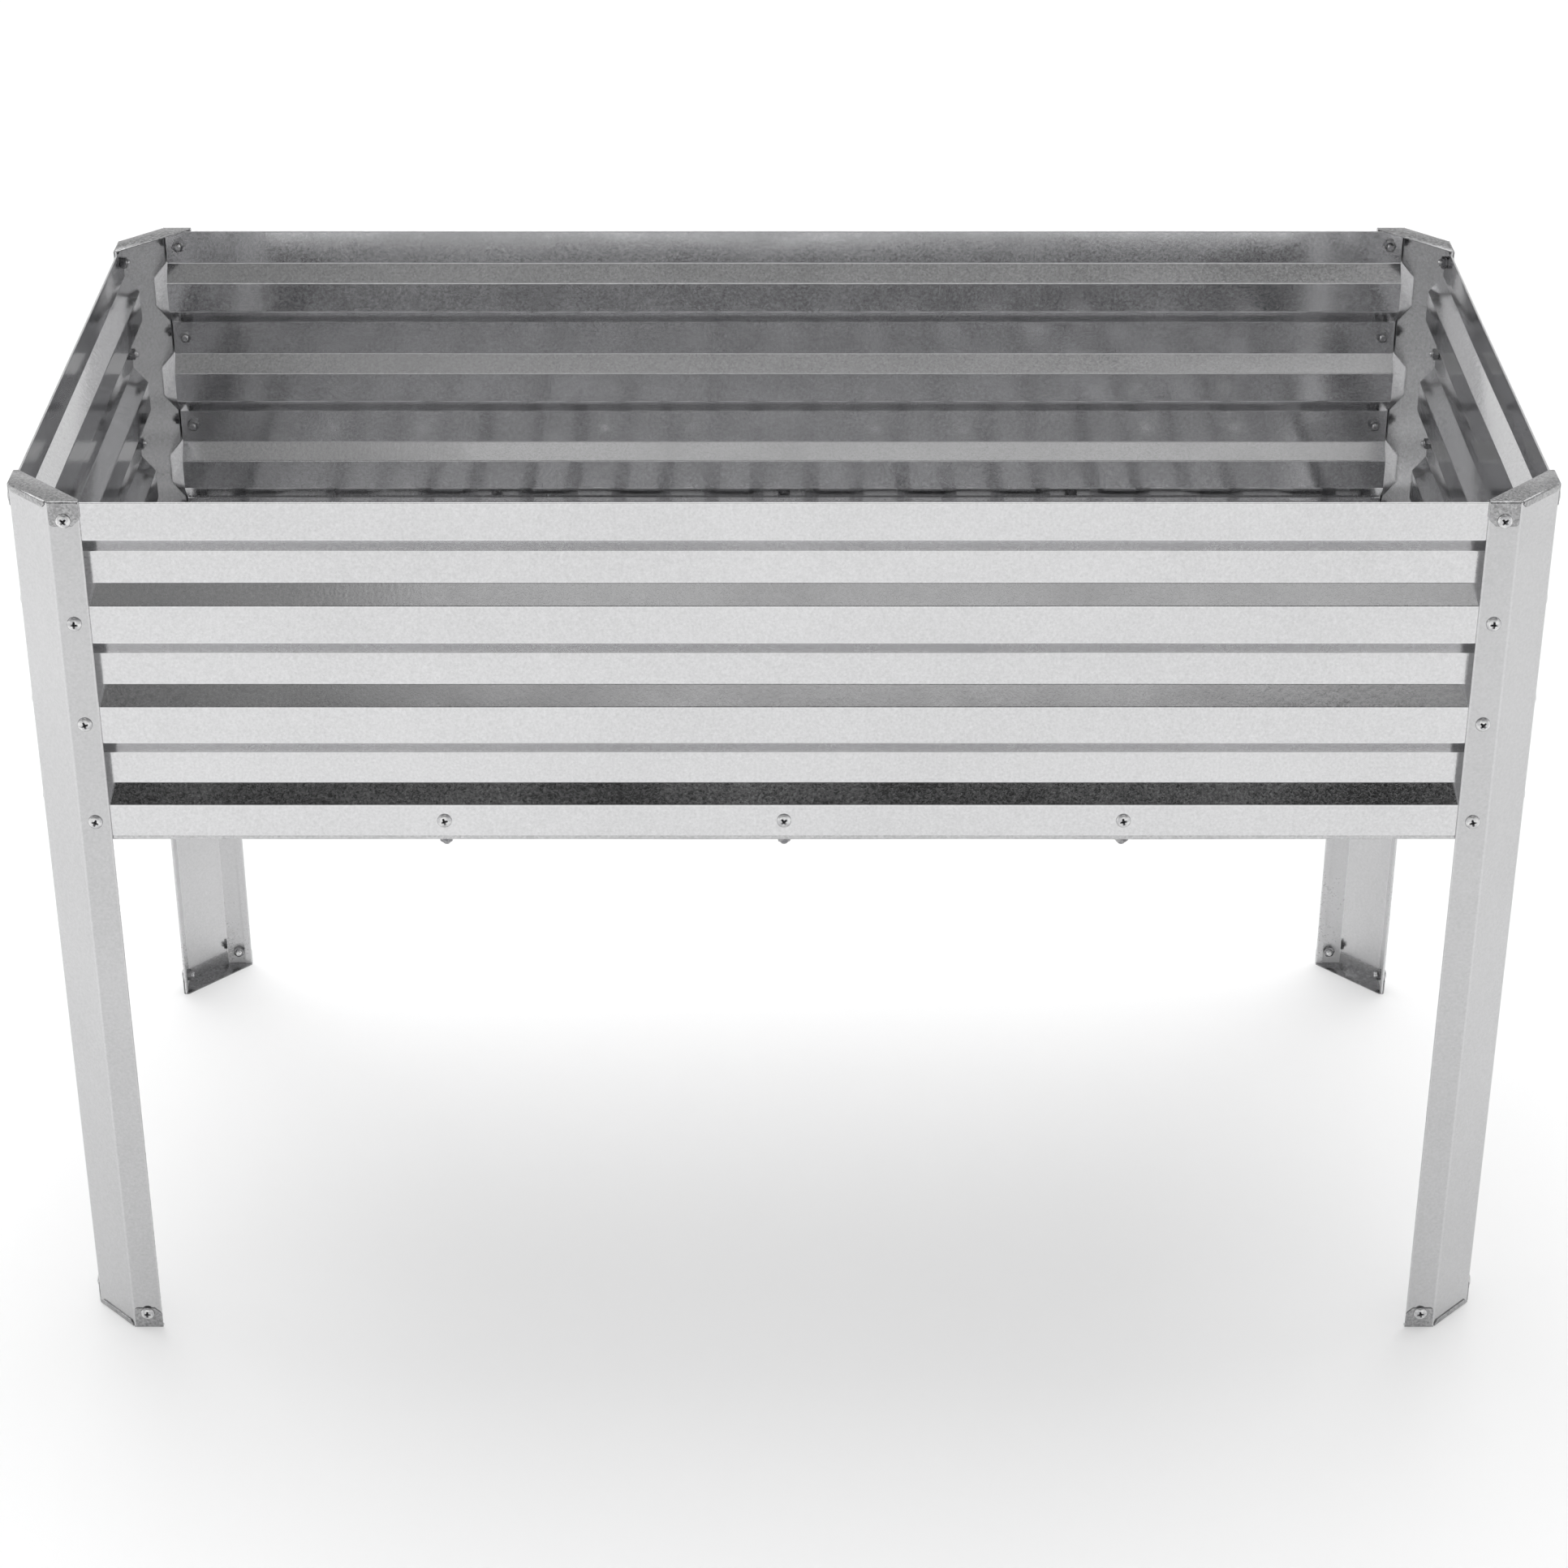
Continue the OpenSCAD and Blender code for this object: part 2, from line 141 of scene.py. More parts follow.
WALL_BACK = WALL_IN + WALL_SHEET
RAIL_BACK = WALL_BACK + RAIL_SHEET
SCREW_INSET = (LEG_CHAMFER + LEG_SPAN) / 2
SCREW_ROWS = [LEG_TOP - SCREW_EDGE - row * RIB_PITCH for row in range(RIB_COUNT + 1)]
FOOT_ROW = LEG_BOTTOM + SCREW_EDGE
RAIL_ROW = SCREW_ROWS[-1]

# ---- Sky, lamps and camera ----------------------------------------------------------------------

# The sky's brightness by height above the horizon, in degrees.
SKY = [
    (0, 1.0), (10, 0.85), (26, 0.6), (40, 0.48), (50, 0.34), (57, 0.26),
    (63, 0.26), (70, 0.6), (76, 0.9), (80, 1.25), (90, 1.35),
]
# Where shapes in the sky fade in and out, on the X, Y and Z of the direction towards them. The band and
# the panel are only in front, and the window is only high up.
DARK_BAND = {"X": (-0.3, -0.22, 0.22, 0.3), "Z": (0.6, 0.64, 0.773, 0.778)}
BRIGHT_PANEL = {"X": (-0.13, -0.1, 0.3, 0.4), "Z": (0.776, 0.781, 0.832, 0.838)}
OVERHEAD_WINDOW = {"X": (-0.6, -0.45, 0.45, 0.6), "Y": (0.02, 0.12, 0.7, 0.8)}
IN_FRONT = (0, -0.2)
HIGH_UP = (0.55, 0.65)
DARK_SHADE, PANEL_SHADE, WINDOW_SHADE = 0.03, 0.7, 2.2

STUDIO_REACH = 30.0
FLOOR_GREY = 0.9
FILL_SUN = 1.2
FILL_PLACE = (0, 2, 3)
FILL_TILT = -50
FILL_ANGLE = 30
CARD_OUT, CARD_BACK, CARD_HEIGHT = 2.4, 0.2, 2.2
CARD_SIZE = 1.5
CARD_POWERS = {-1: 13, 1: 3}  # on the left and on the right
GLOSSY_BOUNCES = 10

CAMERA_PLACE = (0, -2.85, 1.96)
CAMERA_PITCH = 29
CAMERA_LENS = 82.4
SENSOR_WIDTH = 36

# ---- Node materials -----------------------------------------------------------------------------

CLOUDING = 0.02
# Wear along the bends, and a painted highlight there: how much lighter the sheet is along its bends.
BEND_WEAR_AND_HIGHLIGHT = 0.06
COOL_TINT = 1.01
RIPPLE_DEPTH = 0.03 * MM
GRAIN_DEPTH = 0.012 * MM
# Painted shade: the colour that stands for the shadow down in the screws' cross recesses.
RECESS_SHADE_COLOUR = (0.03, 0.03, 0.033, 1)


class Nodes:
    """A short way to write a node tree."""

    def __init__(self, tree):
        self.tree = tree

    def link(self, source, target):
        self.tree.links.new(source, target)

    def node(self, kind, inputs=None, **settings):
        made = self.tree.nodes.new(kind)
        for key, value in settings.items():
            setattr(made, key, value)
        for key, value in (inputs or {}).items():
            if isinstance(value, bpy.types.NodeSocket):
                self.link(value, made.inputs[key])
            else:
                made.inputs[key].default_value = value
        return made

    def math(self, operation, a, b):
        return self.node("ShaderNodeMath", {0: a, 1: b}, operation=operation).outputs[0]

    def ramp(self, value, low, high, to_low, to_high):
        inputs = {"Value": value, "From Min": low, "From Max": high, "To Min": to_low, "To Max": to_high}
        return self.node("ShaderNodeMapRange", inputs).outputs[0]

    def window(self, value, rise, full, fade, gone):
        """1 from full to fade, falling evenly to 0 at rise and at gone."""
        opening = self.ramp(value, rise, full, 0, 1)
        return self.math("MULTIPLY", opening, self.ramp(value, fade, gone, 1, 0))


class Surface(Nodes):
    """A material's node tree: a principled shader, and patterns in metres."""

    def __init__(self, name):
        self.material = bpy.data.materials.new(name)
        self.material.use_nodes = True
        super().__init__(self.material.node_tree)
        self.tree.nodes.clear()
        self.shader = self.node("ShaderNodeBsdfPrincipled")
        self.node("ShaderNodeOutputMaterial", {"Surface": self.shader.outputs[0]})
        self.place = self.node("ShaderNodeTexCoord").outputs["Object"]

    def stretched(self, scale):
        return self.node("ShaderNodeMapping", {"Vector": self.place, "Scale": scale}).outputs[0]

    def noise(self, scale, detail=3.0, stretch=(1, 1, 1), rough=0.5):
        inputs = {"Vector": self.stretched(stretch), "Scale": scale, "Detail": detail, "Roughness": rough}
        return self.node("ShaderNodeTexNoise", inputs).outputs["Fac"]

    def spread(self, pattern, low, high):
        """A noise pattern's usual range, brought to low and high."""
        return self.ramp(pattern, 0.3, 0.7, low, high)

    def bump(self, height, strength, distance, before=None):
        inputs = {"Height": height, "Strength": strength, "Distance": distance}
        if before:
            inputs["Normal"] = before
        return self.node("ShaderNodeBump", inputs).outputs[0]


def galvanised(name, value, roughness, grain, spangle, spangle_size, buckle, along, metallic=1.0):
    """Zinc-coated sheet: fine grain, crystal spangle, patches of drawn ripple, and slow buckles that bend
    its reflections. Along the bends it is lighter, partly for wear and partly as a painted highlight.
    grain and spangle are how strong each is in the grey, buckle is the buckles' depth, along stretches
    the ripple, and below 1 metallic makes a duller, partly diffuse sheet, which the legs' insides use
    for painted light."""
    n = Surface(name)
    fine = n.noise(scale=450, detail=5.0, rough=0.65)
    frayed = n.node("ShaderNodeTexNoise", {"Vector": n.place, "Scale": 1.3 / spangle_size, "Detail": 3.0})
    fray = n.node("ShaderNodeVectorMath", {0: frayed.outputs["Color"], "Scale": spangle_size},
                  operation="SCALE")
    spots = n.node("ShaderNodeVectorMath", {0: n.place, 1: fray.outputs[0]}, operation="ADD").outputs[0]
    crystals = n.node("ShaderNodeTexVoronoi", {"Vector": spots, "Scale": 1 / spangle_size})
    crystal = n.node("ShaderNodeSeparateColor", {"Color": crystals.outputs["Color"]}).outputs[0]
    cloud = n.noise(scale=6, detail=5.0, rough=0.6)
    ripple = n.noise(scale=1, detail=2.0, stretch=along)
    patches = n.ramp(n.noise(scale=5, detail=3.0), 0.5, 0.62, 0.15, 1)
    # Along the bends the grey is lifted: partly wear, partly a painted highlight for the bright bend lines.
    worn = n.node("ShaderNodeAttribute", attribute_name="bend").outputs["Fac"]
    grey = n.math("ADD", n.spread(fine, -grain, grain), n.ramp(crystal, 0, 1, -spangle, spangle))
    grey = n.math("ADD", grey, n.spread(cloud, value - CLOUDING, value + CLOUDING))
    grey = n.math("ADD", grey, n.math("MULTIPLY", worn, BEND_WEAR_AND_HIGHLIGHT))
    blue = n.math("MULTIPLY", grey, COOL_TINT)
    colour = n.node("ShaderNodeCombineColor", {"Red": grey, "Green": grey, "Blue": blue})
    n.link(colour.outputs[0], n.shader.inputs["Base Color"])
    rough = n.math("ADD", n.spread(fine, -0.03, 0.03), n.ramp(crystal, 0, 1, -0.02, 0.02))
    rough = n.math("ADD", rough, n.spread(cloud, roughness - 0.04, roughness + 0.05))
    n.link(rough, n.shader.inputs["Roughness"])
    n.shader.inputs["Metallic"].default_value = metallic
    waves = n.bump(n.noise(scale=9, detail=2.0), 1.0, buckle)
    drawn = n.bump(n.math("MULTIPLY", ripple, patches), 1.0, RIPPLE_DEPTH, waves)
    facets = n.bump(crystal, 1.0, 0.5 * spangle * MM, drawn)
    n.link(n.bump(fine, 1.0, GRAIN_DEPTH, facets), n.shader.inputs["Normal"])
    return n.material


def zinc_plate(name, colours, roughness):
    """Bright zinc plating on screws and nuts, smeared and mottled, with painted shade down in the recesses.
    """
    n = Surface(name)
    smear = n.noise(scale=300, detail=3.0)
    tint = n.ramp(n.noise(scale=260, detail=2.0), 0.4, 0.6, 0, 1)
    mixed = n.node("ShaderNodeMix", {"Factor": tint, "A": colours[0], "B": colours[1]}, data_type="RGBA")
    # Painted shade: the recess mark mixes the dark colour in, down in the cross recess.
    recess = n.node("ShaderNodeAttribute", attribute_name="recess").outputs["Fac"]
    inputs = {"Factor": recess, "A": mixed.outputs["Result"], "B": RECESS_SHADE_COLOUR}
    shaded = n.node("ShaderNodeMix", inputs, data_type="RGBA")
    n.link(shaded.outputs["Result"], n.shader.inputs["Base Color"])
    n.link(n.spread(smear, roughness - 0.06, roughness + 0.06), n.shader.inputs["Roughness"])
    n.shader.inputs["Metallic"].default_value = 1.0
    n.link(n.bump(smear, 0.6, 0.02 * MM), n.shader.inputs["Normal"])
    return n.material


UPRIGHT = (260, 260, 22)
ALONG_Y = (260, 22, 260)
PRESSED = (220, 90, 140)
WALL_FINISH = {"grain": 0.06, "spangle": 0.02, "spangle_size": 1.8 * MM, "buckle": 0.3 * MM}
LEG_FINISH = {"grain": 0.03, "spangle": 0.02, "spangle_size": 1.8 * MM, "buckle": 0.1 * MM}
CAP_FINISH = {"grain": 0.09, "spangle": 0.07, "spangle_size": 1.6 * MM, "buckle": 0.2 * MM}
RAIL_FINISH = {"grain": 0.07, "spangle": 0.06, "spangle_size": 1.6 * MM, "buckle": 0.2 * MM}
sheet_steel = galvanised("galvanised_sheet", 0.64, 0.12, along=UPRIGHT, **WALL_FINISH)
leg_steel = galvanised("galvanised_leg", 0.53, 0.16, along=UPRIGHT, **LEG_FINISH)
# A lighter, less metallic copy of the leg's steel for the flanges' sides that face the walls: painted light
# for the pockets behind the flanges.
lit_inner_steel = galvanised("galvanised_leg_inside_lit", 0.66, 0.3, along=UPRIGHT, metallic=0.3, **LEG_FINISH)
floor_steel = galvanised("galvanised_floor", 0.64, 0.12, along=ALONG_Y, **WALL_FINISH)
stamped_steel = galvanised("galvanised_stamping", 0.36, 0.2, along=PRESSED, **CAP_FINISH)
rail_steel = galvanised("galvanised_rail", 0.5, 0.22, along=UPRIGHT, **RAIL_FINISH)
screw_zinc = zinc_plate("zinc_screws", ((0.5, 0.5, 0.51, 1), (0.72, 0.72, 0.72, 1)), 0.2)
nut_zinc = zinc_plate("zinc_nuts", ((0.2, 0.2, 0.21, 1), (0.36, 0.36, 0.36, 1)), 0.24)

# ---- Meshes and objects -------------------------------------------------------------------------


def take_mesh(name, work):
    """The bmesh as a mesh. The bmesh is freed."""
    mesh = bpy.data.meshes.new(name)
    work.to_mesh(mesh)
    work.free()
    return mesh


def add_object(name, data):
    made = bpy.data.objects.new(name, data)
    bpy.context.scene.collection.objects.link(made)
    return made


def shaped(draft):
    """The draft's mesh after its modifiers."""
    bpy.context.view_layer.update()
    return bpy.data.meshes.new_from_object(draft.evaluated_get(bpy.context.evaluated_depsgraph_get()))


def subtract(piece, cutter):
    """The piece's mesh with the cutter taken out of it. The cutter is removed."""
    cut = piece.modifiers.new("cut", "BOOLEAN")
    cut.object = cutter
    cut.solver = "EXACT"
    result = shaped(piece)
    piece.modifiers.clear()
    bpy.data.objects.remove(cutter)
    return result


# ---- Sheet sections -----------------------------------------------------------------------------


def bent_path(points, radii):
    """The points with an arc at each inner corner, as (x, y, bend) with bend 1 along the arcs."""
    path = [(*points[0], 0.0)]
    for before, corner, after, radius in zip(points, points[1:], points[2:], radii):
        a, b, c = Vector(before), Vector(corner), Vector(after)
        u, v = (b - a).normalized(), (c - b).normalized()
        turn = math.atan2(u.x * v.y - u.y * v.x, u.dot(v))
        side = 1 if turn > 0 else -1
        start = b - u * radius * math.tan(abs(turn) / 2)
        centre = start + Vector((-u.y, u.x)) * side * radius
        for i in range(BEND_STEPS + 1):
            p = centre + Matrix.Rotation(turn * i / BEND_STEPS, 2) @ (start - centre)
            path.append((p.x, p.y, 1.0))
    path.append((*points[-1], 0.0))
    return path


def with_flats(path, longest):
    """The path with its long flats cut up, so that they can carry slow buckles, and with a cut close to
    each bend, so that the flats stay flat when they are shaded."""
    out = [path[0]]
    for a, b in zip(path, path[1:]):
        length = math.hypot(b[0] - a[0], b[1] - a[1])
        if length > 4 * BEND_EDGE:
            inner = length - 2 * BEND_EDGE
            count = max(1, math.ceil(inner / longest))
            for i in range(count + 1):
                t = (BEND_EDGE + inner * i / count) / length
                out.append((a[0] + (b[0] - a[0]) * t, a[1] + (b[1] - a[1]) * t, 0.0))
        out.append(b)
    return out


def thicken(path, thickness):
    """The closed outline of a sheet whose middle follows the path, as (x, y, bend)."""
    left, right = [], []
    last = len(path) - 1
    for i, (x, y, bend) in enumerate(path):
        before, here, after = path[max(i - 1, 0)], path[i], path[min(i + 1, last)]
        u = Vector((here[0] - before[0], here[1] - before[1]))
        v = Vector((after[0] - here[0], after[1] - here[1]))
        u = (u if u.length else v).normalized()
        v = (v if v.length else u).normalized()
        across = Vector((-u.y - v.y, u.x + v.x)).normalized()
        across *= thickness / 2 / across.dot(Vector((-v.y, v.x)))
        left.append((x + across.x, y + across.y, bend))
        right.append((x - across.x, y - across.y, bend))
    return left + right[::-1]


def sweep(name, outline, stations, place, wobble=None):
    """A closed mesh: the outline swept through the stations. place(x, y, s) gives the local point, and
    wobble(point) moves it a little, the same way on both faces of the sheet."""
    mesh = bpy.data.meshes.new(name)
    count = len(outline)
    verts, bends = [], []
    for s in stations:
        for x, y, bend in outline:
            p = Vector(place(x, y, s))
            if wobble:
                p += wobble(p)
            verts.append(p)
            bends.append(bend)
    faces = []
    for k in range(len(stations) - 1):
        for i in range(count):
            j = (i + 1) % count
            faces.append((k * count + i, k * count + j, (k + 1) * count + j, (k + 1) * count + i))
    half = count // 2
    for k in (0, len(stations) - 1):
        for i in range(half - 1):
            quad = (k * count + i, k * count + i + 1, k * count + count - 2 - i, k * count + count - 1 - i)
            faces.append(quad if k else quad[::-1])
    mesh.from_pydata(verts, [], faces)
    mesh.attributes.new("bend", "FLOAT", "POINT").data.foreach_set("value", bends)
    return finish_mesh(name, mesh)


def finish_mesh(name, mesh, angle=SHARP_ANGLE):
    """Closes up the normals, shades smooth except at sharp edges, and makes the object."""
    work = bmesh.new()
    work.from_mesh(mesh)
    bmesh.ops.recalc_face_normals(work, faces=work.faces)
    work.to_mesh(mesh)
    work.free()
    mesh.shade_smooth()
    mesh.set_sharp_from_angle(angle=math.radians(angle))
    return add_object(name, mesh)


def even_stations(low, high, step):
    """Places from low to high, about a step apart."""
    count = max(2, round((high - low) / step))
    return [low + (high - low) * i / count for i in range(count + 1)]


def buckles(size, reach, seed, axis):
    """Slow buckles of a flat sheet: a smooth random shift along one axis."""
    offset = Vector([seed * step for step in SEED_STEPS])

    def shift(p):
        moved = Vector((0, 0, 0))
        moved[axis] = size * noise.noise((p + offset) * (1 / reach))
        return moved

    return shift


# ---- Placing ------------------------------------------------------------------------------------

CORNERS = {
    "front_left": (-1, -1, 0),
    "front_right": (1, -1, 90),
    "back_right": (1, 1, 180),
    "back_left": (-1, 1, 270),
}
SIDES = {
    "front": (0, HALF_DEPTH),
    "right": (90, HALF_LENGTH),
    "back": (180, HALF_DEPTH),
    "left": (270, HALF_LENGTH),
}


def corner_place(corner):
    """From a corner drawn at the origin, with the planter towards +X and +Y, to its own corner."""
    x, y, turn = CORNERS[corner]
    spot = Vector((x * HALF_LENGTH, y * HALF_DEPTH, 0))
    return Matrix.Translation(spot) @ Matrix.Rotation(math.radians(turn), 4, "Z")


def side_place(side):
    """From a side drawn with its outer face on y = 0 to its own side."""
    turn, out = SIDES[side]
    return Matrix.Rotation(math.radians(turn), 4, "Z") @ Matrix.Translation((0, -out, 0))


def drill(piece, spots, radius):
    """Cuts round holes through the piece along each spot's Z, where the spot lies within its box."""
    low = [min(v.co[axis] for v in piece.data.vertices) - NUT_HEIGHT for axis in range(3)]
    high = [max(v.co[axis] for v in piece.data.vertices) + NUT_HEIGHT for axis in range(3)]
    work = bmesh.new()
    for spot in spots:
        if all(low[axis] <= spot.translation[axis] <= high[axis] for axis in range(3)):
            bmesh.ops.create_cone(work, cap_ends=True, segments=DRILL_SIDES, radius1=radius, radius2=radius,
                                  depth=DRILL_REACH, matrix=spot)
    bmesh.ops.recalc_face_normals(work, faces=work.faces)
    piece.data = subtract(piece, add_object("drill", take_mesh("drill", work)))
    piece.data.set_sharp_from_angle(angle=math.radians(SHARP_ANGLE))


def keep(piece, node, material, matrix=None, drilled=True):
    """Puts a finished piece in its place, on the body, for the CAD node that it stands for."""
    if matrix is not None:
        piece.data.transform(matrix)
    if drilled:
        drill(piece, SCREW_SPOTS, HOLE_RADIUS)
    piece.data.materials.clear()
    piece.data.materials.append(material)
    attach(piece, BODY)
    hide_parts(node)
    return piece


# ---- Where the screws go ------------------------------------------------------------------------

TOWARDS_OUT = Matrix.Rotation(math.radians(90), 4, "X")


def flange_places(corner):
    """The ten fasteners of one leg: four wall screws and one foot screw on each flange."""
    last = RIB_COUNT
    stack = [(z, CAP_SHEET if row == 0 else 0, RAIL_BACK if row == last else WALL_BACK)
             for row, z in enumerate(SCREW_ROWS)]
    stack.append((FOOT_ROW, CAP_SHEET, LEG_SHEET))
    swap = Matrix(((0, 1, 0, 0), (1, 0, 0, 0), (0, 0, 1, 0), (0, 0, 0, 1)))
    places = []
    for flange in (Matrix.Identity(4), swap):
        for z, head_seat, nut_seat in stack:
            spot = corner_place(corner) @ flange @ Matrix.Translation((SCREW_INSET, 0, z)) @ TOWARDS_OUT
            places.append((spot, head_seat, nut_seat))
    return places


def strip_places():
    """The fasteners through the walls' bottom strips and the rails behind them."""
    places = []
    for side in SIDES:
        rows = (-CROSSBAR_PITCH, 0, CROSSBAR_PITCH) if side in ("front", "back") else (0,)
        for x in rows:
            spot = side_place(side) @ Matrix.Translation((x, 0, RAIL_ROW)) @ TOWARDS_OUT
            places.append((spot, -WALL_IN, RAIL_BACK))
    return places


def floor_places():
    """The fasteners down through the floor sheets, the crossbars' ends and the long rails."""
    seat = BAR_HIGH.z + 2 * WALL_SHEET
    places = []
    for x in (-CROSSBAR_PITCH, 0, CROSSBAR_PITCH):
        for y in (-1, 1):
            spot = Matrix.Translation((x, y * (HALF_DEPTH - FLOOR_SCREW_INSET), seat))
            places.append((spot, 0, seat - RAIL_LOW.z))
    return places


SCREW_SPOTS = [place[0] for corner in CORNERS for place in flange_places(corner)]
SCREW_SPOTS += [place[0] for place in strip_places() + floor_places()]


# ---- Legs ---------------------------------------------------------------------------------------


def leg_section():
    """The outline of a leg round a corner at the origin, each flange's edge folded in as a hem."""
    skin = LEG_SHEET / 2
    inner = skin + LEG_SHEET + HEM_GAP
    tip = LEG_SPAN - skin
    fold = (LEG_SHEET + HEM_GAP) / 2 * HEM_ROUND
    corner = LEG_CHAMFER + skin * math.tan(math.radians(22.5))
    points = [
        (LEG_SPAN - LEG_HEM, inner), (tip, inner), (tip, skin), (corner, skin),
        (skin, corner), (skin, tip), (inner, tip), (inner, LEG_SPAN - LEG_HEM),
    ]
    path = bent_path(points, [fold, fold, BEND, BEND, fold, fold])
    return thicken(with_flats(path, longest=12 * MM), LEG_SHEET)


def make_legs():
    """The legs. The sides of their flanges that face the walls get a lighter, less metallic copy of the
    leg's steel: painted light for the pockets behind the flanges.
    """
    outline = leg_section()
    stations = even_stations(LEG_BOTTOM, LEG_TOP, step=16 * MM)
    for corner in CORNERS:
        piece = sweep("Leg_" + corner, outline, stations, lambda x, y, s: (x, y, s))
        keep(piece, "leg_" + corner, leg_steel, corner_place(corner))
        # The faces towards the walls take the lit copy of the steel: painted light.
        piece.data.materials.append(lit_inner_steel)
        to_corner = corner_place(corner).to_3x3().inverted()
        for face in piece.data.polygons:
            facing = to_corner @ face.normal
            if max(facing.x, facing.y) > TOWARDS_WALL:
                face.material_index = 1


# ---- Walls --------------------------------------------------------------------------------------


def wall_section():
    """The outline of a wall as (distance in, height), its ribs pushed in and its top edge hemmed."""
    skin = WALL_IN + WALL_SHEET / 2
    hem = skin + WALL_SHEET + HEM_GAP
    fold = (WALL_SHEET + HEM_GAP) / 2 * HEM_ROUND
    edge = WALL_TOP - WALL_SHEET / 2
    points = [(skin, WALL_BOTTOM)]
    for n in reversed(range(RIB_COUNT)):
        top = WALL_TOP - STRIP - n * RIB_PITCH
        bed = top - RIB_SLOPE
        inner = skin + RIB_DEPTH - (LAST_RIB_SHALLOWER if n == RIB_COUNT - 1 else 0)
        points += [(skin, bed - VALLEY - RIB_SLOPE), (inner, bed - VALLEY), (inner, bed), (skin, top)]
    points += [(skin, edge), (hem, edge), (hem, WALL_TOP - TOP_HEM)]
    path = bent_path(points, [BEND] * (4 * RIB_COUNT) + [fold, fold])
    return thicken(with_flats(path, longest=11 * MM), WALL_SHEET)


def make_walls():
    outline = wall_section()
    halves = {"front": WALL_HIGH.x, "back": WALL_HIGH.x, "left": SHORT_WALL_HALF, "right": SHORT_WALL_HALF}
    for seed, (side, half) in enumerate(halves.items()):
        stations = even_stations(-half, half, step=18 * MM)
        shift = buckles(size=0.35 * MM, reach=170 * MM, seed=seed, axis=1)
        piece = sweep("Wall_" + side, outline, stations, lambda x, y, s: (s, x, y), shift)
        keep(piece, "panel_" + side, sheet_steel, side_place(side))


# ---- Floor frame and floor ----------------------------------------------------------------------


def rail_place(inner):
    """Where a rail's points go: its shelf stops at inner, short of its upright's ends."""
    upright_end = WALL_BACK + RAIL_SHEET + BEND

    def place(x, y, s):
        reach = max(-inner, min(inner, s)) if x > upright_end else s
        return (reach, x, y)

    return place


def make_rails():
    skin = RAIL_SHEET / 2
    upright = WALL_BACK + skin
    shelf = RAIL_HIGH.y + HALF_DEPTH
    height = RAIL_HIGH.z - RAIL_LOW.z
    for seed, side in enumerate(SIDES):
        is_long = side in ("front", "back")
        bottom = (RAIL_LOW if is_long else SIDE_RAIL_LOW).z
        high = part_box("rail_" + side)[1]
        half = high.x if is_long else high.y
        points = [(upright, bottom + height), (upright, bottom + skin), (shelf, bottom + skin)]
        outline = thicken(with_flats(bent_path(points, [BEND]), longest=8 * MM), RAIL_SHEET)
        stations = even_stations(-half, half, step=14 * MM)
        shift = buckles(size=0.5 * MM, reach=120 * MM, seed=seed + 10, axis=2)
        piece = sweep("Rail_" + side, outline, stations, rail_place(half - RAIL_NOTCH), shift)
        keep(piece, "rail_" + side, rail_steel, side_place(side))


# ---- Screws and nuts ----------------------------------------------------------------------------


def revolve(work, profile, steps):
    """Adds a turned surface round Z to the bmesh; profile is (radius, height) points, axis to axis."""
    rings = []
    for radius, height in profile:
        if radius < 1e-7:
            rings.append([work.verts.new((0, 0, height))])
            continue
        angles = [2 * math.pi * i / steps for i in range(steps)]
        rings.append([work.verts.new((radius * math.cos(a), radius * math.sin(a), height)) for a in angles])
    for lower, upper in zip(rings, rings[1:]):
        for i in range(steps):
            j = (i + 1) % steps
            corners = [lower[i % len(lower)], lower[j % len(lower)]]
            corners += [upper[j % len(upper)], upper[i % len(upper)]]
            unique = list(dict.fromkeys(corners))
            if len(unique) > 2:
                work.faces.new(unique)


def recess_cutter():
    """The cross that is cut into a screw's head, narrow at its bottom and wide at its top."""
    work = bmesh.new()

    def cross(reach, half, z):
        inner = half * 1.25
        ring = []
        for quarter in range(4):
            turn = Matrix.Rotation(math.pi / 2 * quarter, 2)
            for x, y in ((reach, -half), (reach, half), (inner, inner)):
                p = turn @ Vector((x, y))
                ring.append(work.verts.new((p.x, p.y, z)))
        return ring

    lower = cross(reach=0.9 * MM, half=0.35 * MM, z=HEAD_HEIGHT - RECESS_DEPTH)
    upper = cross(reach=4.1 * MM, half=0.95 * MM, z=HEAD_HEIGHT + 0.5 * MM)
    count = len(lower)
    for i in range(count):
        j = (i + 1) % count
        work.faces.new((lower[i], lower[j], upper[j], upper[i]))
    work.faces.new(lower[::-1])
    work.faces.new(upper)
    bmesh.ops.recalc_face_normals(work, faces=work.faces)
    return add_object("recess", take_mesh("recess", work))


def mark_recess_shade(mesh):
    """Marks the points down in the recess, where the material paints shade."""
    sink = 0.25 * MM
    marks = mesh.attributes.new("recess", "FLOAT", "POINT")
    for vertex, mark in zip(mesh.vertices, marks.data):
        across = min(1, (vertex.co.xy.length / HEAD_RADIUS) ** (1 / HEAD_ROUND))
        dome = HEAD_RIM + (HEAD_HEIGHT - HEAD_RIM) * math.sqrt(1 - across * across)
        sunk = HEAD_EDGE < vertex.co.z < dome - sink
        mark.value = 1.0 if sunk and across < RECESS_SPAN else 0.0


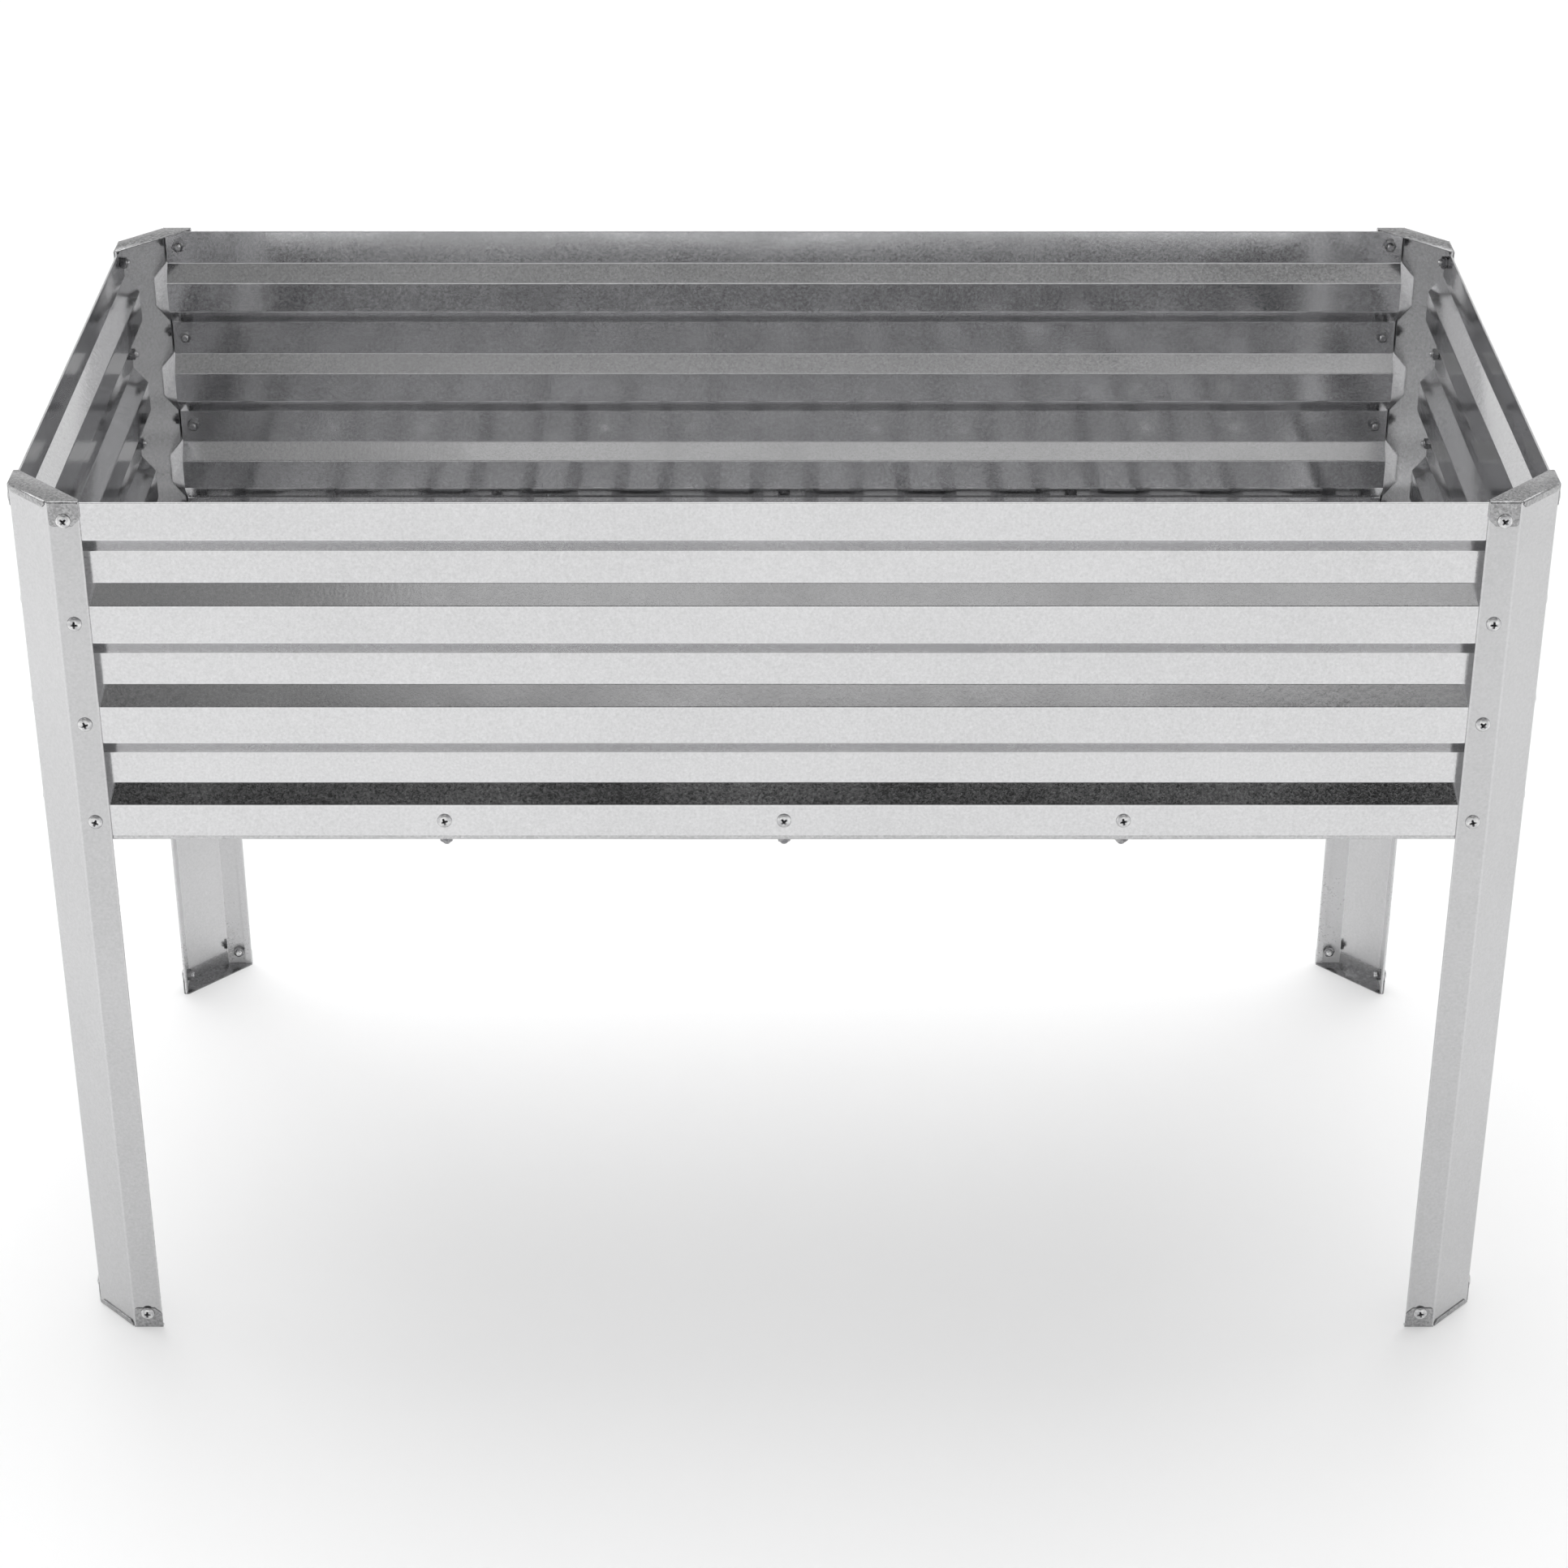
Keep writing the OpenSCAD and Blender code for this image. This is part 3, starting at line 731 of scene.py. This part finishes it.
def screw_head():
    """A pan head with its cross recess cut in, seated on z = 0, its top towards +Z."""
    rise = HEAD_HEIGHT - HEAD_RIM
    profile = [(0, 0), (HEAD_RADIUS - HEAD_EDGE, 0), (HEAD_RADIUS, HEAD_EDGE), (HEAD_RADIUS, HEAD_RIM)]
    steps = 12
    for step in range(1, steps):
        angle = math.radians(90 * step / steps)
        profile.append((HEAD_RADIUS * math.cos(angle) ** HEAD_ROUND, HEAD_RIM + rise * math.sin(angle)))
    profile.append((0, HEAD_HEIGHT))
    work = bmesh.new()
    revolve(work, profile, steps=64)
    bmesh.ops.recalc_face_normals(work, faces=work.faces)
    head = add_object("head", take_mesh("head", work))
    result = subtract(head, recess_cutter())
    bpy.data.objects.remove(head)
    mark_recess_shade(result)
    return result


def add_shank(work, length):
    """A threaded shank from z = 0 down, with a chamfered point."""
    steps, per_turn = 24, 6
    top = -0.2 * MM
    point, point_share = 0.9 * MM, 0.72
    crest_width = 1.3
    rows = max(2, round((length + top) / (THREAD_PITCH / per_turn)))
    rings = []
    for k in range(rows + 1):
        z = top - (length + top) * k / rows
        ring = []
        for i in range(steps):
            phase = (-z / THREAD_PITCH - i / steps) % 1.0
            ridge = 1 - abs(2 * phase - 1)
            radius = SCREW_RADIUS - THREAD_DEPTH * (1 - min(1, ridge * crest_width))
            from_tip = (length + z) / point
            radius = min(radius, SCREW_RADIUS * (point_share + (1 - point_share) * from_tip))
            angle = 2 * math.pi * i / steps
            ring.append(work.verts.new((radius * math.cos(angle), radius * math.sin(angle), z)))
        rings.append(ring)
    for upper, lower in zip(rings, rings[1:]):
        for i in range(steps):
            j = (i + 1) % steps
            work.faces.new((upper[j], upper[i], lower[i], lower[j]))
    work.faces.new(rings[0])
    work.faces.new(rings[-1][::-1])


def nut_mesh():
    """A hexagon nut from z = 0 to its height: both ends chamfered, bore countersunk."""
    work = bmesh.new()
    steps = 72
    flat = NUT_FLATS / 2
    crown = flat * 0.97
    bore, mouth = SCREW_RADIUS + NUT_PLAY, SCREW_RADIUS + COUNTERSINK
    slope = math.tan(math.radians(28))

    def ring(radius_of, height_of):
        out = []
        for i in range(steps):
            a = 2 * math.pi * i / steps
            r = radius_of(a)
            out.append(work.verts.new((r * math.cos(a), r * math.sin(a), height_of(r))))
        return out

    def hexagon(a):
        within = (a % (math.pi / 3)) - math.pi / 6
        return flat / math.cos(within)

    def drop(r):
        return max(0, (r - crown) * slope)

    rings = [
        ring(lambda a: bore, lambda r: COUNTERSINK),
        ring(lambda a: mouth, lambda r: 0),
        ring(lambda a: crown, lambda r: 0),
        ring(hexagon, drop),
        ring(hexagon, lambda r: NUT_HEIGHT - drop(r)),
        ring(lambda a: crown, lambda r: NUT_HEIGHT),
        ring(lambda a: mouth, lambda r: NUT_HEIGHT),
        ring(lambda a: bore, lambda r: NUT_HEIGHT - COUNTERSINK),
    ]
    for lower, upper in zip(rings, rings[1:] + rings[:1]):
        for i in range(steps):
            j = (i + 1) % steps
            work.faces.new((lower[i], lower[j], upper[j], upper[i]))
    bmesh.ops.recalc_face_normals(work, faces=work.faces)
    return take_mesh("nut", work)


HEAD_MESH = screw_head()
NUT_MESH = nut_mesh()


def hardware_piece(name, node, places, kind, turns):
    """One piece of many screws or nuts. A place is (matrix, seat of the head, seat of the nut), where
    the matrix takes +Z to the way the head faces and its origin to the fastener's axis."""
    work = bmesh.new()
    for matrix, head_seat, nut_seat in places:
        turn = Matrix.Rotation(turns.uniform(0, 2 * math.pi), 4, "Z")
        first = len(work.verts)
        if kind == "screws":
            work.from_mesh(HEAD_MESH)
            add_shank(work, nut_seat + head_seat + NUT_HEIGHT + SCREW_REACH)
            seat = head_seat
        else:
            work.from_mesh(NUT_MESH)
            seat = -nut_seat - NUT_HEIGHT
        work.verts.ensure_lookup_table()
        placed = matrix @ Matrix.Translation((0, 0, seat)) @ turn
        bmesh.ops.transform(work, matrix=placed, verts=work.verts[first:])
    piece = finish_mesh(name, take_mesh(name, work), angle=35)
    return keep(piece, node, screw_zinc if kind == "screws" else nut_zinc, drilled=False)


def make_hardware():
    turns = random.Random(TURN_SEED)
    for corner in CORNERS:
        for kind in ("screws", "nuts"):
            name = f"leg_{kind}_{corner}"
            hardware_piece(name.capitalize(), name, flange_places(corner), kind, turns)
    for where, places in (("rail", strip_places()), ("floor", floor_places())):
        for kind in ("screws", "nuts"):
            name = f"{where}_{kind}"
            hardware_piece(name.capitalize(), name, places, kind, turns)


# ---- The CAD nodes ------------------------------------------------------------------------------


def dress_cad_nodes():
    """Materials for all the CAD nodes. Only the crossbars' own shapes show."""
    for name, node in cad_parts.items():
        if name.startswith(("top_cap", "foot_cap")):
            material = stamped_steel
        elif name.startswith(("rail_", "crossbar")):
            material = rail_steel
        elif name.startswith("floor_sheet"):
            material = floor_steel
        else:
            material = sheet_steel
        node.data.materials.clear()
        node.data.materials.append(material)


# ---- Floor sheets -------------------------------------------------------------------------------


def floor_section(low, high):
    """The outline of a floor sheet between its box's corners, its ribs standing up."""
    bed, crest = low.z + WALL_SHEET / 2, high.z - WALL_SHEET / 2
    points = [(low.x, bed)]
    for rib in range(RIB_COUNT):
        start = low.x + FLOOR_EDGE + rib * RIB_PITCH
        points += [(start, bed), (start + RIB_SLOPE, crest)]
        points += [(start + RIB_SLOPE + VALLEY, crest), (start + 2 * RIB_SLOPE + VALLEY, bed)]
    points.append((high.x, bed))
    path = bent_path(points, [BEND] * (4 * RIB_COUNT))
    return thicken(with_flats(path, longest=16 * MM), WALL_SHEET)


def make_floor():
    drain_rows = [(row - (DRAIN_ROWS - 1) / 2) * DRAIN_PITCH for row in range(DRAIN_ROWS)]
    for number in range(1, FLOOR_SHEETS + 1):
        node = f"floor_sheet_{number}"
        low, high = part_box(node)
        stations = even_stations(low.y, high.y, step=20 * MM)
        piece = sweep(node.capitalize(), floor_section(low, high), stations, lambda x, y, s: (x, s, y))
        middle = (low.x + high.x) / 2
        drains = [Matrix.Translation((middle + side * RIB_PITCH / 2, y, low.z))
                  for side in (-1, 1) for y in drain_rows]
        drill(piece, drains, DRAIN_RADIUS)
        keep(piece, node, floor_steel)


# ---- Caps ---------------------------------------------------------------------------------------


def cap_mesh():
    """A stamped cap in a corner's own coordinates, with the plate's outer face on z = 0 and its tabs and
    lip hanging down from it. The middle of the sheet is folded first and thickened afterwards."""
    skin = CAP_SHEET / 2
    start, end, back = LEG_CHAMFER + CAP_SIDE_GAP, LEG_SPAN, CAP_BACK
    slant = LEG_CHAMFER - skin * math.sqrt(2)
    gap = CAP_LIP_GAP / math.sqrt(2)
    round_steps = 4
    work = bmesh.new()

    def corner(x, y, z=-skin):
        return work.verts.new((x, y, z))

    tab_a, tab_b = corner(start, -skin), corner(end, -skin)
    other_a, other_b = corner(-skin, end), corner(-skin, start)
    reach = slant + skin
    lip_a, lip_b = corner(reach - gap, gap - skin), corner(gap - skin, reach - gap)
    plate = [tab_a, tab_b, corner(end, back), corner(back, end), other_a, other_b]
    plate += [corner(-skin, reach), lip_b, lip_a, corner(reach, -skin)]
    work.faces.new(plate)
    for first, last in ((tab_a, tab_b), (other_b, other_a)):
        along = (last.co - first.co).normalized()
        foot = -CAP_TAB
        shape = [last, corner(*last.co.xy, foot + CAP_CUT)]
        shape.append(corner(*(last.co - along * CAP_CUT).xy, foot))
        for step in range(round_steps + 1):
            angle = math.radians(90 * step / round_steps)
            inward, upward = CAP_ROUND * (1 - math.sin(angle)), CAP_ROUND * (1 - math.cos(angle))
            shape.append(corner(*(first.co + along * inward).xy, foot + upward))
        shape.append(first)
        work.faces.new(shape)
    along = (lip_b.co - lip_a.co).normalized()
    inset = along * CAP_ROUND
    shape = [lip_b, corner(*lip_b.co.xy, -CAP_LIP / 2), corner(*(lip_b.co - inset).xy, -CAP_LIP)]
    shape += [corner(*(lip_a.co + inset).xy, -CAP_LIP), corner(*lip_a.co.xy, -CAP_LIP / 2), lip_a]
    work.faces.new(shape)
    bmesh.ops.recalc_face_normals(work, faces=work.faces)
    bends = [edge for edge in work.edges if len(edge.link_faces) == 2]
    bmesh.ops.bevel(work, geom=bends, offset=CAP_BEND, segments=5, profile=0.5, affect="EDGES")
    draft = add_object("cap", take_mesh("cap", work))
    thick = draft.modifiers.new("thickness", "SOLIDIFY")
    thick.thickness = CAP_SHEET
    thick.offset = 0
    thick.use_even_offset = True
    worn = draft.modifiers.new("worn_edges", "BEVEL")
    worn.width = 0.2 * MM
    worn.segments = 2
    worn.limit_method = "ANGLE"
    worn.angle_limit = math.radians(50)
    result = shaped(draft)
    bpy.data.objects.remove(draft)
    return result


def make_caps():
    shape = cap_mesh()
    flip = Matrix.Scale(-1, 4, (0, 0, 1))
    for corner in CORNERS:
        for kind, seat in (("top", Matrix.Translation((0, 0, CAD_HIGH.z))), ("foot", flip)):
            mesh = shape.copy()
            mesh.transform(corner_place(corner) @ seat)
            node = f"{kind}_cap_{corner}"
            piece = finish_mesh(node.capitalize(), mesh, angle=10)
            keep(piece, node, stamped_steel)


# ---- Studio -------------------------------------------------------------------------------------


def sky_shape(n, direction, edges):
    """1 within a shape in the sky, and 0 outside it."""
    shape = 1.0
    for axis, places in edges.items():
        shape = n.math("MULTIPLY", shape, n.window(direction[axis], *places))
    return shape


def make_sky():
    """Soft light all round, pale at the horizon and overhead, with a dark band in front, a bright panel
    above it and a window overhead."""
    world = bpy.data.worlds.new("studio")
    bpy.context.scene.world = world
    world.use_nodes = True
    n = Nodes(world.node_tree)
    place = n.node("ShaderNodeTexCoord").outputs["Generated"]
    direction = n.node("ShaderNodeSeparateXYZ", {0: place}).outputs
    base = n.node("ShaderNodeValToRGB", {0: direction["Z"]})
    elements = base.color_ramp.elements
    elements.remove(elements[-1])
    for number, (degrees, level) in enumerate(SKY):
        spot = math.sin(math.radians(degrees))
        stop = elements[0] if number == 0 else elements.new(spot)
        stop.position = spot
        stop.color = (level, level, level, 1)
    front = n.ramp(direction["Y"], *IN_FRONT, 0, 1)
    high = n.ramp(direction["Z"], *HIGH_UP, 0, 1)
    dark = n.math("MULTIPLY", sky_shape(n, direction, DARK_BAND), front)
    panel = n.math("MULTIPLY", sky_shape(n, direction, BRIGHT_PANEL), front)
    window = n.math("MULTIPLY", sky_shape(n, direction, OVERHEAD_WINDOW), high)
    level = base.outputs[0]
    for mask, shade in ((dark, DARK_SHADE), (panel, PANEL_SHADE), (window, WINDOW_SHADE)):
        inputs = {"Factor": mask, "A": level, "B": (shade, shade, shade, 1)}
        level = n.node("ShaderNodeMix", inputs, data_type="RGBA").outputs["Result"]
    n.link(level, n.tree.nodes["Background"].inputs["Color"])


def add_light(name, kind, power, spot, turn, seen):
    """A lamp that casts no shadow; seen says whether the metal mirrors it."""
    data = bpy.data.lights.new(name, kind)
    data.energy = power
    data.use_shadow = False
    lamp = add_object(name, data)
    lamp.location = spot
    lamp.rotation_euler = [math.radians(angle) for angle in turn]
    lamp.visible_glossy = seen
    return data


def make_studio():
    mesh = bpy.data.meshes.new("studio_floor")
    corners = [(x * STUDIO_REACH, y * STUDIO_REACH, 0) for x, y in ((-1, -1), (1, -1), (1, 1), (-1, 1))]
    mesh.from_pydata(corners, [], [(0, 1, 2, 3)])
    n = Surface("studio_floor")
    n.shader.inputs["Base Color"].default_value = (FLOOR_GREY, FLOOR_GREY, FLOOR_GREY, 1)
    n.shader.inputs["Roughness"].default_value = 0.9
    n.shader.inputs["Specular IOR Level"].default_value = 0.1
    mesh.materials.append(n.material)
    add_object("studio_floor", mesh)

    make_sky()
    fill = add_light("back_fill", "SUN", FILL_SUN, FILL_PLACE, (FILL_TILT, 0, 0), seen=False)
    fill.angle = math.radians(FILL_ANGLE)
    for side, power in CARD_POWERS.items():
        spot = (side * CARD_OUT, CARD_BACK, CARD_HEIGHT)
        card = add_light("side_card", "AREA", power, spot, (0, 0, 0), seen=True)
        card.shape = "DISK"
        card.size = CARD_SIZE

    bpy.context.scene.cycles.glossy_bounces = GLOSSY_BOUNCES
    bpy.context.scene.view_settings.view_transform = "Standard"


def make_camera():
    data = bpy.data.cameras.new("camera")
    data.sensor_width = SENSOR_WIDTH
    data.lens = CAMERA_LENS
    camera = add_object("camera", data)
    camera.location = CAMERA_PLACE
    camera.rotation_euler = (math.radians(90 - CAMERA_PITCH), 0, 0)
    bpy.context.scene.camera = camera


make_camera()
make_studio()
dress_cad_nodes()
make_legs()
make_walls()
make_rails()
make_floor()
make_caps()
make_hardware()
